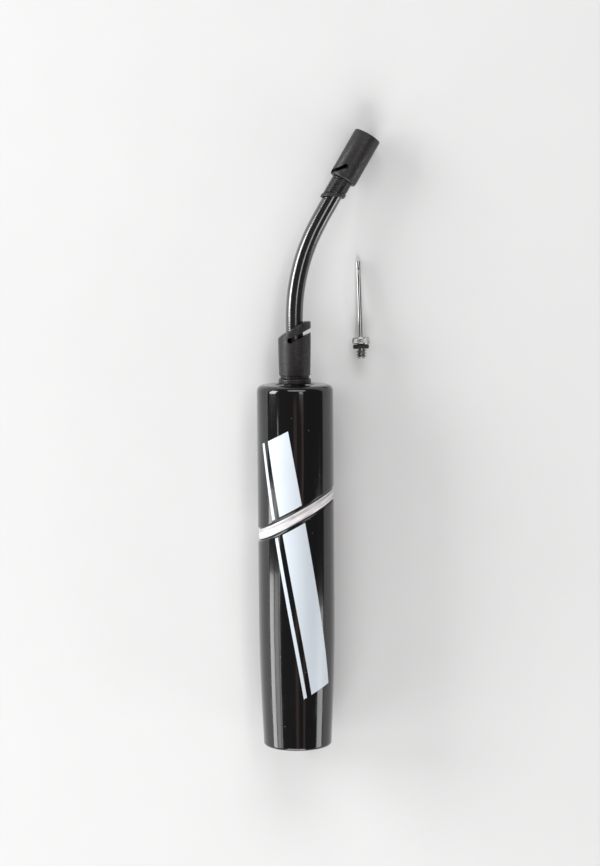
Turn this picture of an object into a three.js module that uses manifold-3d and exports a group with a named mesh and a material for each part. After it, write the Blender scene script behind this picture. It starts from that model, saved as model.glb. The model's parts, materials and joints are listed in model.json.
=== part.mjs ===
// A hand pump for inflating balls, lying on its side, with its short hose and its needle.
// Millimetres, +Z up. The pump's axis is Y: the handle's flat end face is at y = 0, and the hose end points
// along +Y.
// The handle is a sleeve that slides over the barrel. It drives a piston through a cross-shaped rod, and the air
// leaves through a ball valve in the head, a swivelling hose and a connector that takes a screw-in needle.
import * as THREE from "three";
import { mergeVertices } from "three/addons/utils/BufferGeometryUtils.js";
import Module from "manifold-3d";

const wasm = await Module();
wasm.setup();

// ---- driving dimensions ----
const GAP = 0.3; // between two pieces that touch
const BODY_RADIUS = 18.4; // the barrel-shaped outside, handle and front shell alike
const BODY_TOP = 176; // the front shell's end face
const SHOULDER = 3.2; // rounding of the front shell's edge
const BODY_SIDES = 36;

const SEAM_CENTRE = 113.5; // where the slanted gap between the two shells crosses the axis
const SEAM_SLOPE = 0.545; // rise of the gap for each millimetre to the right
const SEAM_GAP = 5.8; // width of the gap along the axis
const SEAM_RING_RADIUS = 18.05; // a little below the shells

const HANDLE_TAPER_FROM = 66; // the handle narrows from here to its end
const HANDLE_TAPER = 2.0; // radius lost by the end
const HANDLE_TAPER_POWER = 1.8;
const HANDLE_EDGE = 3.2; // rounding of the handle's end
const HANDLE_BORE = 16;
const CAP_RADIUS = 13;
const CAP_THICKNESS = 4.9;
const BOSS_RADIUS = 7;
const BOSS_TOP = 22;

const ROD_REACH = 4.6; // from the axis to the tip of each of the rod's four ribs
const ROD_RIB = 3.2; // thickness of a rib
const ROD_BORE = 4.9; // the round holes that the rod's ends sit in
const ROD_BOTTOM = 8.3;
const ROD_TOP = 149.7;
const PIN_HEIGHT = 15;
const PIN_RADIUS = 0.9;
const KEY_CLEARANCE = 0.35; // round the rod in its guide

const BARREL_RADIUS = 15.6;
const BARREL_BORE = 13.8;
const BARREL_BOTTOM = 11.3;
const BARREL_TOP = 168;
const GUIDE_TOP = 37.5;

const PISTON_BOTTOM = 140; // with the handle pushed home
const PISTON_TOP = 154;
const PISTON_RADIUS = 13.2;
const GROOVE_LOW = 144.6; // the groove that the sealing ring floats in
const GROOVE_HIGH = 148.4;
const GROOVE_FLOOR = 10.5;
const RING_SECTION = 1.45;

const HEAD_BOTTOM = 156;
const HEAD_FLANGE_TOP = 172.7;
const SPIGOT_RADIUS = 5.2;
const SPIGOT_TOP = 188;
const VALVE_BORE = 2.9;
const BALL_RADIUS = 2.2;
const BALL_HEIGHT = 162.1;

const COLLAR_BOTTOM = 180.4;
const COLLAR_LOW_RADIUS = 7.5;
const COLLAR_HIGH_RADIUS = 7.9;
const COLLAR_TOP = 206.4; // on the right, where the slanted cut ends
const COLLAR_LEFT_TOP = 198.4; // on the left, where the slanted cut starts
const COLLAR_SLOPE = 0.65;
const COLLAR_SLOT = [-2.1, 197.4]; // the round hole that the slot starts at
const COLLAR_SLOT_WIDTH = 2.1;
const COLLAR_SLOT_ANGLE = 25;

const HOSE_RADIUS = 4.2;
const HOSE_BORE = 2.25;
const HOSE_SOCKET = 4.5; // the holes that the hose is held in

const CONNECTOR_RADIUS = 6.75;
const CONNECTOR_LENGTH = 24.7;
const BOOT_RADIUS = 5;
const BOOT_RIB_PITCH = 2;
const BOOT_RIB_DEPTH = 0.25;
const FERRULE_CENTRE = -33.6; // from the connector's mouth, along its axis
const FERRULE_THICKNESS = 2;
const FERRULE_SLOPE = 0.48;
const SOCKET_RADIUS = 5.5;
const SOCKET_RECESS = 4.7; // takes the needle's hub
const SOCKET_RECESS_DEPTH = 6.2;
const THREAD_BORE = 2.8;
const MOUTH = new THREE.Vector3(36, 294.7, -11.7);
const CONNECTOR_YAW = 30.5; // degrees to the right of the pump's axis
const CONNECTOR_PITCH = -8.4; // degrees: the mouth is the low end

const NEEDLE_LENGTH = 47.5;
const NEEDLE_TUBE_RADIUS = 1.1;
const NEEDLE_BORE = 0.55;
const NEEDLE_HUB_RADIUS = 4.3;
const NEEDLE_HUB_LOW = 6.95; // from the threaded end
const NEEDLE_HUB_HIGH = 10.3;
const NEEDLE_THREAD_RADIUS = 2.7;
const NEEDLE_THREAD_TOP = 4.6;
const NEEDLE_REST = new THREE.Vector3(32.45, 187.35, -13.16); // the threaded end, lying on the table
const NEEDLE_YAW = -1.6;
const NEEDLE_PITCH = -5.05;

// The visible stretch of the hose: out of the collar, in one bend to the right and down to the connector.
const HOSE_BEND = [
  [0, 194.5, 0],
  [0, 198, 0],
  [0, 202, 0],
  [0, 206, 0],
  [0.15, 212, -0.14],
  [0.6, 218, -0.44],
  [1.45, 224, -0.88],
  [2.7, 230, -1.45],
  [4.35, 236, -2.15],
  [6.5, 242, -2.95],
  [9.1, 248, -3.82],
  [12.2, 254, -4.78],
  [15.58, 260, -5.77],
];
// The straight stretch inside the connector, as distances back from its mouth.
const HOSE_STRAIGHT = [36.5, 33, 29, 25, 21, 16.5];

// ---- helpers ----
const degrees = THREE.MathUtils.degToRad;

function solidOf(geometry) {
  const bare = geometry.clone();
  bare.deleteAttribute("normal");
  bare.deleteAttribute("uv");
  const merged = mergeVertices(bare, 1e-3);
  return new wasm.Manifold(
    new wasm.Mesh({
      numProp: 3,
      vertProperties: merged.attributes.position.array,
      triVerts: new Uint32Array(merged.index.array),
    }),
  );
}

function geometryOf(solid) {
  const mesh = solid.getMesh();
  return new THREE.BufferGeometry()
    .setAttribute("position", new THREE.BufferAttribute(mesh.vertProperties, 3))
    .setIndex(new THREE.BufferAttribute(mesh.triVerts, 1));
}

// Cuts each tool out of a geometry.
function cut(geometry, ...tools) {
  let solid = solidOf(geometry);
  for (const tool of tools) solid = solid.subtract(solidOf(tool));
  return geometryOf(solid);
}

function keep(geometry, tool) {
  return geometryOf(solidOf(geometry).intersect(solidOf(tool)));
}

// A turned piece about Y from [radius, height] pairs: out along the bottom, up the outside and back inside.
// A profile that doesn't start on the axis is closed into a ring.
function turned(profile, sides = 24) {
  const points = profile.map(([radius, height]) => new THREE.Vector2(radius, height));
  if (profile[0][0] > 0) points.push(points[0].clone());
  return new THREE.LatheGeometry(points, sides, Math.PI / sides);
}

function ring(inner, outer, low, high, sides = 24) {
  return turned([[inner, low], [outer, low], [outer, high], [inner, high]], sides);
}

// A round seal: a torus whose section is small and coarse.
function sealRing(radius, section, height, sides = 24, corners = 8) {
  const profile = [];
  for (let i = 0; i < corners; i++) {
    const angle = (2 * Math.PI * i) / corners;
    profile.push([radius + section * Math.cos(angle), height + section * Math.sin(angle)]);
  }
  return turned(profile, sides);
}

// Points of a quarter round of a profile, from one angle to another in degrees.
function arc(centreRadius, centreHeight, radius, from, to, steps = 4) {
  const points = [];
  for (let i = 0; i <= steps; i++) {
    const angle = degrees(from + ((to - from) * i) / steps);
    points.push([
      centreRadius + radius * Math.cos(angle),
      centreHeight + radius * Math.sin(angle),
    ]);
  }
  return points;
}

// A slab between two slanted planes that rise to the right, given where its middle crosses the axis.
function slantedSlab(centre, slope, thickness, reach = 60) {
  const slab = new THREE.BoxGeometry(reach, thickness * Math.cos(Math.atan(slope)), reach);
  slab.rotateZ(Math.atan(slope));
  slab.translate(0, centre, 0);
  return slab;
}

// The cross-shaped section of the rod, grown by a clearance.
function crossSection(clearance) {
  const reach = ROD_REACH + clearance;
  const half = ROD_RIB / 2 + clearance;
  const shape = new THREE.Shape();
  shape.moveTo(reach, -half);
  shape.lineTo(reach, half);
  shape.lineTo(half, half);
  shape.lineTo(half, reach);
  shape.lineTo(-half, reach);
  shape.lineTo(-half, half);
  shape.lineTo(-reach, half);
  shape.lineTo(-reach, -half);
  shape.lineTo(-half, -half);
  shape.lineTo(-half, -reach);
  shape.lineTo(half, -reach);
  shape.lineTo(half, -half);
  shape.closePath();
  return shape;
}

function crossBar(clearance, low, high) {
  const bar = new THREE.ExtrudeGeometry(crossSection(clearance), {
    depth: high - low,
    bevelEnabled: false,
  });
  bar.rotateX(-Math.PI / 2);
  bar.translate(0, low, 0);
  return bar;
}

function crossPin(radius, length, height) {
  const pin = new THREE.CylinderGeometry(radius, radius, length, 12);
  pin.rotateZ(Math.PI / 2);
  pin.translate(0, height, 0);
  return pin;
}

function roundSection(radius, sides) {
  const points = [];
  for (let i = 0; i < sides; i++) {
    const angle = (2 * Math.PI * i) / sides;
    points.push(new THREE.Vector2(radius * Math.cos(angle), radius * Math.sin(angle)));
  }
  return points;
}

// A slot that starts at a round hole, cut into the front of a round wall: it runs off from (x, y) at an angle
// in degrees.
function reliefSlot(x, y, holeRadius, width, length, angle) {
  const corner = Math.asin(width / 2 / holeRadius);
  const shape = new THREE.Shape();
  shape.moveTo(length, -width / 2);
  shape.lineTo(length, width / 2);
  shape.absarc(0, 0, holeRadius, corner, 2 * Math.PI - corner, false);
  const slot = new THREE.ExtrudeGeometry(shape, { depth: 12, bevelEnabled: false, curveSegments: 6 });
  slot.rotateZ(degrees(angle));
  slot.translate(x, y, -0.5);
  return slot;
}

// The same slot's outer end, cut through the back of the wall as well.
function slotEnd(x, y, width, from, length, angle) {
  const end = new THREE.BoxGeometry(length - from, width, 24);
  end.translate((from + length) / 2, 0, 0);
  end.rotateZ(degrees(angle));
  end.translate(x, y, 0);
  return end;
}

// ---- materials ----
const finish = (color, roughness, metalness = 0) =>
  new THREE.MeshStandardMaterial({ color, roughness, metalness });
const GLOSS_BLACK = finish(0x101012, 0.16);
const INNER_BLACK = finish(0x1a1a1c, 0.45);
const MATTE_GREY = finish(0x37363a, 0.55);
const PALE_RING = finish(0xded9d8, 0.3);
const CLEAR_WHITE = finish(0xc9ccd0, 0.4);
const HOSE_BLACK = finish(0x141416, 0.3);
const RUBBER_BLACK = finish(0x17171a, 0.75);
const STEEL = finish(0xb9bcc0, 0.22, 1);

// ---- handle: the sleeve, its end cap, the rod and the piston ----
function handleRadius(height) {
  const along = Math.max(0, (HANDLE_TAPER_FROM - height) / HANDLE_TAPER_FROM);
  return BODY_RADIUS - HANDLE_TAPER * along ** HANDLE_TAPER_POWER;
}

function handleSleeve() {
  const endRadius = handleRadius(HANDLE_EDGE);
  const floor = CAP_THICKNESS + GAP;
  const inside = CAP_RADIUS + GAP - 0.02; // just inside the rounded edge's start
  const beyondSeam = 130;
  const profile = [
    ...arc(endRadius - HANDLE_EDGE, HANDLE_EDGE, HANDLE_EDGE, -90, 0),
    ...[9, 17, 28, 42, HANDLE_TAPER_FROM].map((height) => [handleRadius(height), height]),
    [BODY_RADIUS, beyondSeam],
    [HANDLE_BORE, beyondSeam],
    [HANDLE_BORE, 8],
    [BOSS_RADIUS + GAP, 8],
    [BOSS_RADIUS + GAP, floor],
    [inside, floor],
    [inside, 0],
  ];
  const seam = slantedSlab(SEAM_CENTRE + 50, SEAM_SLOPE, SEAM_GAP + 100, 120);
  return cut(turned(profile, BODY_SIDES), seam);
}

function handleEndCap() {
  const profile = [
    [0, 0],
    [CAP_RADIUS - 0.4, 0],
    [CAP_RADIUS, 0.4],
    [CAP_RADIUS, CAP_THICKNESS],
    [BOSS_RADIUS, CAP_THICKNESS],
    [BOSS_RADIUS, BOSS_TOP],
    [ROD_BORE, BOSS_TOP],
    [ROD_BORE, ROD_BOTTOM - GAP],
    [0, ROD_BOTTOM - GAP],
  ];
  return cut(turned(profile), crossPin(PIN_RADIUS + GAP, 2 * BOSS_RADIUS + 2, PIN_HEIGHT));
}

function pistonRod() {
  return cut(
    crossBar(0, ROD_BOTTOM, ROD_TOP),
    crossPin(PIN_RADIUS + GAP, 2 * ROD_REACH + 2, PIN_HEIGHT),
  );
}

function rodBumper() {
  const low = 128;
  const high = PISTON_BOTTOM - GAP;
  return turned([
    [ROD_BORE, low],
    [8, low],
    [9, low + 1],
    [9, high - 1],
    [8, high],
    [ROD_BORE, high],
  ]);
}

function pistonHead() {
  const socketTop = ROD_TOP + GAP;
  const profile = [
    [0, socketTop],
    [ROD_BORE, socketTop],
    [ROD_BORE, PISTON_BOTTOM],
    [PISTON_RADIUS - 0.8, PISTON_BOTTOM],
    [PISTON_RADIUS, PISTON_BOTTOM + 0.8],
    [PISTON_RADIUS, GROOVE_LOW],
    [GROOVE_FLOOR, GROOVE_LOW],
    [GROOVE_FLOOR, GROOVE_HIGH],
    [PISTON_RADIUS, GROOVE_HIGH],
    [PISTON_RADIUS, PISTON_TOP],
    [0, PISTON_TOP],
  ];
  // Four notches let air pass the sealing ring as the handle is drawn out.
  const notches = [0, 90, 180, 270].map((turn) => {
    const notch = new THREE.BoxGeometry(4, PISTON_TOP - GROOVE_HIGH + 2, 3);
    notch.translate(PISTON_RADIUS + 0.4, (PISTON_TOP + GROOVE_HIGH) / 2, 0);
    notch.rotateY(degrees(turn));
    return notch;
  });
  return cut(turned(profile), ...notches);
}

function pistonRing() {
  const restingOn = GROOVE_LOW + RING_SECTION + 0.05;
  return sealRing(GROOVE_FLOOR + RING_SECTION + 0.25, RING_SECTION, restingOn);
}

// ---- barrel: tube, rod guide, outlet head, valve and front shell ----
function rodGuide() {
  const flangeRadius = BARREL_RADIUS - 0.1;
  const flangeTop = BARREL_BOTTOM - GAP;
  const bossRoom = BOSS_RADIUS + 0.6;
  const bossRoomTop = BOSS_TOP + 1.5;
  const profile = [
    [0, bossRoomTop],
    [bossRoom, bossRoomTop],
    [bossRoom, 9],
    [flangeRadius, 9],
    [flangeRadius, flangeTop],
    [BARREL_BORE - GAP, flangeTop],
    [BARREL_BORE - GAP, GUIDE_TOP],
    [0, GUIDE_TOP],
  ];
  return cut(turned(profile), crossBar(KEY_CLEARANCE, BOSS_TOP, GUIDE_TOP + 1));
}

function outletHead() {
  const plug = BARREL_BORE - GAP;
  const oringLow = 160.8;
  const oringHigh = 163.8;
  const spigotGrooveLow = 182.2;
  const spigotGrooveHigh = 184.2;
  return turned([
    [1.4, HEAD_BOTTOM],
    [plug, HEAD_BOTTOM],
    [plug, oringLow],
    [11, oringLow],
    [11, oringHigh],
    [plug, oringHigh],
    [plug, BARREL_TOP + GAP],
    [BARREL_RADIUS - 0.1, BARREL_TOP + GAP],
    [BARREL_RADIUS - 0.1, HEAD_FLANGE_TOP],
    [SPIGOT_RADIUS, HEAD_FLANGE_TOP],
    [SPIGOT_RADIUS, spigotGrooveLow],
    [4, spigotGrooveLow],
    [4, spigotGrooveHigh],
    [SPIGOT_RADIUS, spigotGrooveHigh],
    [SPIGOT_RADIUS, SPIGOT_TOP],
    [VALVE_BORE, SPIGOT_TOP],
    [VALVE_BORE, 162],
    [1.4, 160],
  ]);
}

function valveSpring() {
  const low = BALL_HEIGHT + BALL_RADIUS + 0.6;
  const high = 173.4;
  const turns = 5;
  const coilRadius = 2;
  class Helix extends THREE.Curve {
    getPoint(t, target = new THREE.Vector3()) {
      const angle = 2 * Math.PI * turns * t;
      return target.set(
        coilRadius * Math.sin(angle),
        low + (high - low) * t,
        coilRadius * Math.cos(angle),
      );
    }
  }
  return new THREE.ExtrudeGeometry(new THREE.Shape(roundSection(0.25, 6)), {
    extrudePath: new Helix(),
    steps: turns * 10,
  });
}

function frontShell() {
  const top = arc(BODY_RADIUS - SHOULDER, BODY_TOP - SHOULDER, SHOULDER, 0, 90);
  const innerTop = BODY_TOP - 3;
  const holeRadius = SPIGOT_RADIUS + 0.4;
  const belowSeam = 95;
  const bore = BARREL_RADIUS + GAP;
  const profile = [
    [bore, belowSeam],
    [BODY_RADIUS, belowSeam],
    ...top,
    [holeRadius, BODY_TOP],
    [holeRadius, innerTop],
    [bore, innerTop],
  ];
  const seam = slantedSlab(SEAM_CENTRE - 50, SEAM_SLOPE, SEAM_GAP + 100, 120);
  return cut(turned(profile, BODY_SIDES), seam);
}

function seamRing() {
  const band = ring(BARREL_RADIUS + GAP, SEAM_RING_RADIUS, 95, 130, BODY_SIDES);
  return keep(band, slantedSlab(SEAM_CENTRE, SEAM_SLOPE, SEAM_GAP - 2 * GAP));
}

// ---- hose: collar, hose and connector, which swivel together on the spigot ----
function hoseCollar() {
  const bore = SPIGOT_RADIUS + 0.5;
  const neckBottom = 179.2;
  const profile = [
    [bore, neckBottom],
    [6.9, neckBottom],
    [6.9, COLLAR_BOTTOM],
    [COLLAR_LOW_RADIUS, COLLAR_BOTTOM],
    [COLLAR_HIGH_RADIUS, COLLAR_TOP],
    [HOSE_SOCKET, COLLAR_TOP],
    [HOSE_SOCKET, 194.2],
    [2.2, 194.2],
    [2.2, 192],
    [bore, 192],
  ];
  const thickness = 40;
  const cutStart = COLLAR_LEFT_TOP + COLLAR_HIGH_RADIUS * COLLAR_SLOPE;
  const slant = slantedSlab(cutStart + thickness / 2, COLLAR_SLOPE, thickness);
  const slot = reliefSlot(...COLLAR_SLOT, 1.35, COLLAR_SLOT_WIDTH, 14, COLLAR_SLOT_ANGLE);
  const slotBack = slotEnd(...COLLAR_SLOT, COLLAR_SLOT_WIDTH, 5.6, 14, COLLAR_SLOT_ANGLE);
  return cut(turned(profile), slant, slot, slotBack);
}

function hoseNipple() {
  return turned(
    [
      [0.9, 190.3],
      [4.9, 190.3],
      [4.9, 191.7],
      [1.85, 191.7],
      [1.85, 200],
      [1.5, 201],
      [0.9, 201],
    ],
    16,
  );
}

function connectorAxis() {
  const pitch = degrees(CONNECTOR_PITCH);
  const yaw = degrees(CONNECTOR_YAW);
  return new THREE.Vector3(
    Math.sin(yaw) * Math.cos(pitch),
    Math.cos(yaw) * Math.cos(pitch),
    Math.sin(pitch),
  );
}

function hose() {
  const axis = connectorAxis();
  const points = HOSE_BEND.map((point) => new THREE.Vector3(...point));
  for (const back of HOSE_STRAIGHT) points.push(MOUTH.clone().addScaledVector(axis, -back));
  const section = new THREE.Shape(roundSection(HOSE_RADIUS, 12));
  section.holes.push(new THREE.Path(roundSection(HOSE_BORE, 8)));
  return new THREE.ExtrudeGeometry(section, {
    extrudePath: new THREE.CatmullRomCurve3(points),
    steps: 20,
  });
}

// The connector's own pieces are turned about Y, with its mouth at 0 and the hose on the negative side.
function connectorSleeve() {
  const bore = SOCKET_RADIUS + GAP;
  const floor = -CONNECTOR_LENGTH + 3.2;
  const profile = [
    [BOOT_RADIUS - 0.3, -CONNECTOR_LENGTH],
    [CONNECTOR_RADIUS - 1, -CONNECTOR_LENGTH],
    [CONNECTOR_RADIUS - 0.3, -CONNECTOR_LENGTH + 0.35],
    [CONNECTOR_RADIUS, -CONNECTOR_LENGTH + 1.1],
    [CONNECTOR_RADIUS, -0.6],
    [CONNECTOR_RADIUS - 0.15, 0],
    [bore, 0],
    [bore, floor],
    [BOOT_RADIUS - 0.3, floor],
  ];
  return cut(turned(profile), reliefSlot(-1.6, -19.2, 1.25, 1.7, 9, 180 + 45));
}

function needleSocket() {
  return turned([
    [0.9, -22],
    [1.5, -22],
    [1.85, -21],
    [1.85, -16.2],
    [SOCKET_RADIUS, -16.2],
    [SOCKET_RADIUS, -GAP],
    [SOCKET_RECESS + 0.3, -GAP],
    [SOCKET_RECESS, -1],
    [SOCKET_RECESS, -SOCKET_RECESS_DEPTH],
    [THREAD_BORE, -SOCKET_RECESS_DEPTH],
    [THREAD_BORE, -13],
    [0.9, -13],
  ]);
}

function connectorBoot() {
  const high = -CONNECTOR_LENGTH - GAP;
  const low = -38;
  const outside = [];
  for (let y = low; y < high - 1; y += BOOT_RIB_PITCH) {
    outside.push([BOOT_RADIUS, y], [BOOT_RADIUS - BOOT_RIB_DEPTH, y + BOOT_RIB_PITCH / 2]);
  }
  outside.push([BOOT_RADIUS, high]);
  const profile = [[HOSE_SOCKET, low], ...outside, [HOSE_SOCKET, high]];
  const aboveFerrule = FERRULE_CENTRE + FERRULE_THICKNESS / 2 + GAP;
  const belowFerrule = slantedSlab(aboveFerrule - 10, FERRULE_SLOPE, 20, 40);
  return cut(turned(profile, 20), belowFerrule);
}

function hoseFerrule() {
  const band = ring(HOSE_SOCKET, BOOT_RADIUS + 0.3, -40, -28, 20);
  return keep(band, slantedSlab(FERRULE_CENTRE, FERRULE_SLOPE, FERRULE_THICKNESS));
}

// ---- needle, turned about Y from its threaded end at 0 ----
function needleHub() {
  const thread = [];
  for (let y = 0.4; y < NEEDLE_THREAD_TOP - 0.5; y += 1.4) {
    thread.push([NEEDLE_THREAD_RADIUS - 0.4, y], [NEEDLE_THREAD_RADIUS, y + 0.7]);
  }
  return turned(
    [
      [NEEDLE_TUBE_RADIUS + GAP, 0],
      [NEEDLE_THREAD_RADIUS - 0.5, 0],
      ...thread,
      [NEEDLE_THREAD_RADIUS - 0.4, NEEDLE_THREAD_TOP],
      [NEEDLE_THREAD_RADIUS - 0.4, NEEDLE_HUB_LOW],
      [NEEDLE_HUB_RADIUS, NEEDLE_HUB_LOW],
      [NEEDLE_HUB_RADIUS, NEEDLE_HUB_HIGH - 0.5],
      [NEEDLE_HUB_RADIUS - 0.5, NEEDLE_HUB_HIGH],
      [NEEDLE_TUBE_RADIUS + GAP, NEEDLE_HUB_HIGH],
    ],
    20,
  );
}

function needleGasket() {
  return ring(NEEDLE_THREAD_RADIUS + 0.1, 3.85, NEEDLE_THREAD_TOP + 0.2, NEEDLE_HUB_LOW - GAP, 20);
}

function needleTube() {
  const tipCentre = NEEDLE_LENGTH - NEEDLE_TUBE_RADIUS;
  const boreEnd = tipCentre - 0.4;
  const profile = [
    [0, boreEnd],
    [NEEDLE_BORE, boreEnd],
    [NEEDLE_BORE, 0.4],
    [NEEDLE_TUBE_RADIUS, 0.4],
    ...arc(0, tipCentre, NEEDLE_TUBE_RADIUS, 0, 70),
    [0, NEEDLE_LENGTH],
  ];
  const sideHole = new THREE.CylinderGeometry(0.4, 0.4, 4, 8);
  sideHole.rotateX(Math.PI / 2);
  sideHole.translate(0, tipCentre - 3, 2);
  return cut(turned(profile, 12), sideHole);
}

// ---- assembly ----
const pump = new THREE.Group();

function place(group, name, geometry, material) {
  const mesh = new THREE.Mesh(geometry, material);
  mesh.name = name;
  group.add(mesh);
}

place(pump, "front_shell", frontShell(), GLOSS_BLACK);
place(pump, "seam_ring", seamRing(), PALE_RING);
place(pump, "barrel_tube", ring(BARREL_BORE, BARREL_RADIUS, BARREL_BOTTOM, BARREL_TOP, 32), INNER_BLACK);
place(pump, "rod_guide", rodGuide(), INNER_BLACK);
place(pump, "outlet_head", outletHead(), INNER_BLACK);
place(pump, "barrel_oring", sealRing(12.3, 1.15, 162.3), RUBBER_BLACK);
place(pump, "valve_retainer", ring(1.2, VALVE_BORE - GAP, 174, 186, 16), CLEAR_WHITE);
place(pump, "spigot_oring", sealRing(4.75, 0.6, 183.2, 20, 6), RUBBER_BLACK);
place(pump, "valve_spring", valveSpring(), STEEL);

const ball = new THREE.SphereGeometry(BALL_RADIUS, 14, 10);
ball.translate(0, BALL_HEIGHT, 0);
place(pump, "check_ball", ball, STEEL);

place(pump, "handle_sleeve", handleSleeve(), GLOSS_BLACK);
place(pump, "handle_end_cap", handleEndCap(), GLOSS_BLACK);
place(pump, "piston_rod", pistonRod(), CLEAR_WHITE);
place(pump, "rod_pin", crossPin(PIN_RADIUS, 2 * BOSS_RADIUS - 0.6, PIN_HEIGHT), STEEL);
place(pump, "rod_bumper", rodBumper(), RUBBER_BLACK);
place(pump, "piston_head", pistonHead(), INNER_BLACK);
place(pump, "piston_ring", pistonRing(), RUBBER_BLACK);

place(pump, "collar_base_ring", ring(SPIGOT_RADIUS + 0.5, 7.9, 176.4, 178.9), MATTE_GREY);
place(pump, "hose_collar", hoseCollar(), MATTE_GREY);
place(pump, "outlet_washer", ring(1.6, 4.9, 188.3, 190, 16), RUBBER_BLACK);
place(pump, "hose_nipple", hoseNipple(), STEEL);
place(pump, "hose", hose(), HOSE_BLACK);

const connector = new THREE.Group();
connector.position.copy(MOUTH);
connector.quaternion.setFromUnitVectors(new THREE.Vector3(0, 1, 0), connectorAxis());
pump.add(connector);
place(connector, "connector_sleeve", connectorSleeve(), MATTE_GREY);
place(connector, "needle_socket", needleSocket(), INNER_BLACK);
place(connector, "socket_washer", ring(1.3, THREAD_BORE - GAP, -12.7, -11.4, 16), RUBBER_BLACK);
place(connector, "connector_boot", connectorBoot(), HOSE_BLACK);
place(connector, "hose_ferrule", hoseFerrule(), MATTE_GREY);

const needle = new THREE.Group();
needle.position.copy(NEEDLE_REST);
needle.rotation.set(degrees(NEEDLE_PITCH), 0, degrees(-NEEDLE_YAW), "ZXY");
pump.add(needle);
place(needle, "needle_hub", needleHub(), STEEL);
place(needle, "needle_gasket", needleGasket(), RUBBER_BLACK);
place(needle, "needle_tube", needleTube(), STEEL);

export default pump;
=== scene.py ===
"""The looks of a ball pump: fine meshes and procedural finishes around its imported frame.

The pump lies on its side with its axis along +Y and the hose end at the far side. Sizes in this file are in
millimetres unless a name says otherwise, and every mesh is made in the frame's own place.
"""

import json
import logging
import math
from dataclasses import dataclass, field
from enum import Enum
from typing import Callable, NamedTuple, Optional, Sequence, Union

import bmesh
import bpy
from mathutils import Matrix, Vector


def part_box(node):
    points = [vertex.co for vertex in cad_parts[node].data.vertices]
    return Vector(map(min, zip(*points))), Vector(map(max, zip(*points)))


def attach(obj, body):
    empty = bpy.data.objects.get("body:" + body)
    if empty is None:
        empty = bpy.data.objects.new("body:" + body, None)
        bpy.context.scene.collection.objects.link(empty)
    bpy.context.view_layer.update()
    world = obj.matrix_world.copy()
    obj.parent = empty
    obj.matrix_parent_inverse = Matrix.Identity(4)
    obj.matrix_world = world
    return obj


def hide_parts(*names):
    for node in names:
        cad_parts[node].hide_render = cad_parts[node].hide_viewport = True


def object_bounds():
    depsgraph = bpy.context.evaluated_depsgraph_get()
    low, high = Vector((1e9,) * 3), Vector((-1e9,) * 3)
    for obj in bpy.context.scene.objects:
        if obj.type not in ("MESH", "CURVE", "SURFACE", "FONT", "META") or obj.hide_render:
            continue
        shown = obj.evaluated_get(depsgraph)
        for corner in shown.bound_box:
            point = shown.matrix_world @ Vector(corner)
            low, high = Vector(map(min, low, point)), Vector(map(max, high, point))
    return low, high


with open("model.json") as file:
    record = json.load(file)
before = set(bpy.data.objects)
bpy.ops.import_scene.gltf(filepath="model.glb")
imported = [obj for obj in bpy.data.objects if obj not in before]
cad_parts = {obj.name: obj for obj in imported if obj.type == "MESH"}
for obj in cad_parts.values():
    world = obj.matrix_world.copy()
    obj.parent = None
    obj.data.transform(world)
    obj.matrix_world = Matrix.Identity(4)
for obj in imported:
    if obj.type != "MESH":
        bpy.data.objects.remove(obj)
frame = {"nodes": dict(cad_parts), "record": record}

CAD_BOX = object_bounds()
MM = 0.001
LOG = logging.getLogger("ball_pump")

Colour = tuple[float, float, float]
Edge = Callable[[float], float]
Mesh = bpy.types.Mesh
Piece = bpy.types.Object
Socket = bpy.types.NodeSocket


# ---- turning, sweeping and cutting meshes ----


class Corner(NamedTuple):
    """A corner of a turned profile.

    Attributes:
        radius: Distance from the piece's axis.
        height: Place along the axis.
        fillet: Rounding of the corner, 0 for a sharp one.
        follow: 1 where the corner follows the piece's slanted edge, and 0 where it doesn't.
    """

    radius: float
    height: float
    fillet: float = 0.0
    follow: float = 0.0


Profile = Sequence[Union[Corner, tuple[float, ...]]]


def level(_across: float) -> float:
    """Returns the rise of an edge that isn't slanted."""
    return 0.0


def turns(count: int) -> list[float]:
    """Returns evenly spaced angles that go round once."""
    return [math.tau * number / count for number in range(count)]


def on_ring(radius: float, height: float, turn: float) -> Vector:
    """Returns a point round the Y axis, at an angle from the top towards +X."""
    return Vector((radius * math.sin(turn), height, radius * math.cos(turn)))


def rounded(corners: Sequence[Corner], steps: int) -> list[Corner]:
    """Rounds the corners of a closed profile.

    Args:
        corners: The profile's corners in order, the last one joined to the first.
        steps: How many pieces each rounding has.

    Returns:
        The profile with each filleted corner replaced by points on its arc.
    """
    almost_straight = math.radians(89)
    points: list[Corner] = []
    for index, corner in enumerate(corners):
        here = Vector(corner[:2])
        back = Vector(corners[index - 1][:2]) - here
        ahead = Vector(corners[(index + 1) % len(corners)][:2]) - here
        half = back.angle(ahead) / 2
        if corner.fillet <= 0 or half > almost_straight:
            points.append(corner)
            continue
        reach = min(corner.fillet / math.tan(half), 0.49 * back.length, 0.49 * ahead.length)
        radius = reach * math.tan(half)
        back.normalize()
        ahead.normalize()
        centre = here + (back + ahead).normalized() * (radius / math.sin(half))
        start, finish = here + back * reach - centre, here + ahead * reach - centre
        for step in range(steps + 1):
            place = centre + start.slerp(finish, step / steps) * radius
            points.append(Corner(place.x, place.y, 0.0, corner.follow))
    return points


def closed(points: Sequence[Vector], faces: Sequence[Sequence[int]]) -> Mesh:
    """Makes a mesh from its points and faces.

    Args:
        points: The points.
        faces: The numbers of each face's points.

    Returns:
        The mesh in metres, polished.
    """
    mesh = bpy.data.meshes.new("work")
    mesh.from_pydata([point * MM for point in points], [], faces)
    return polished(mesh)


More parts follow.
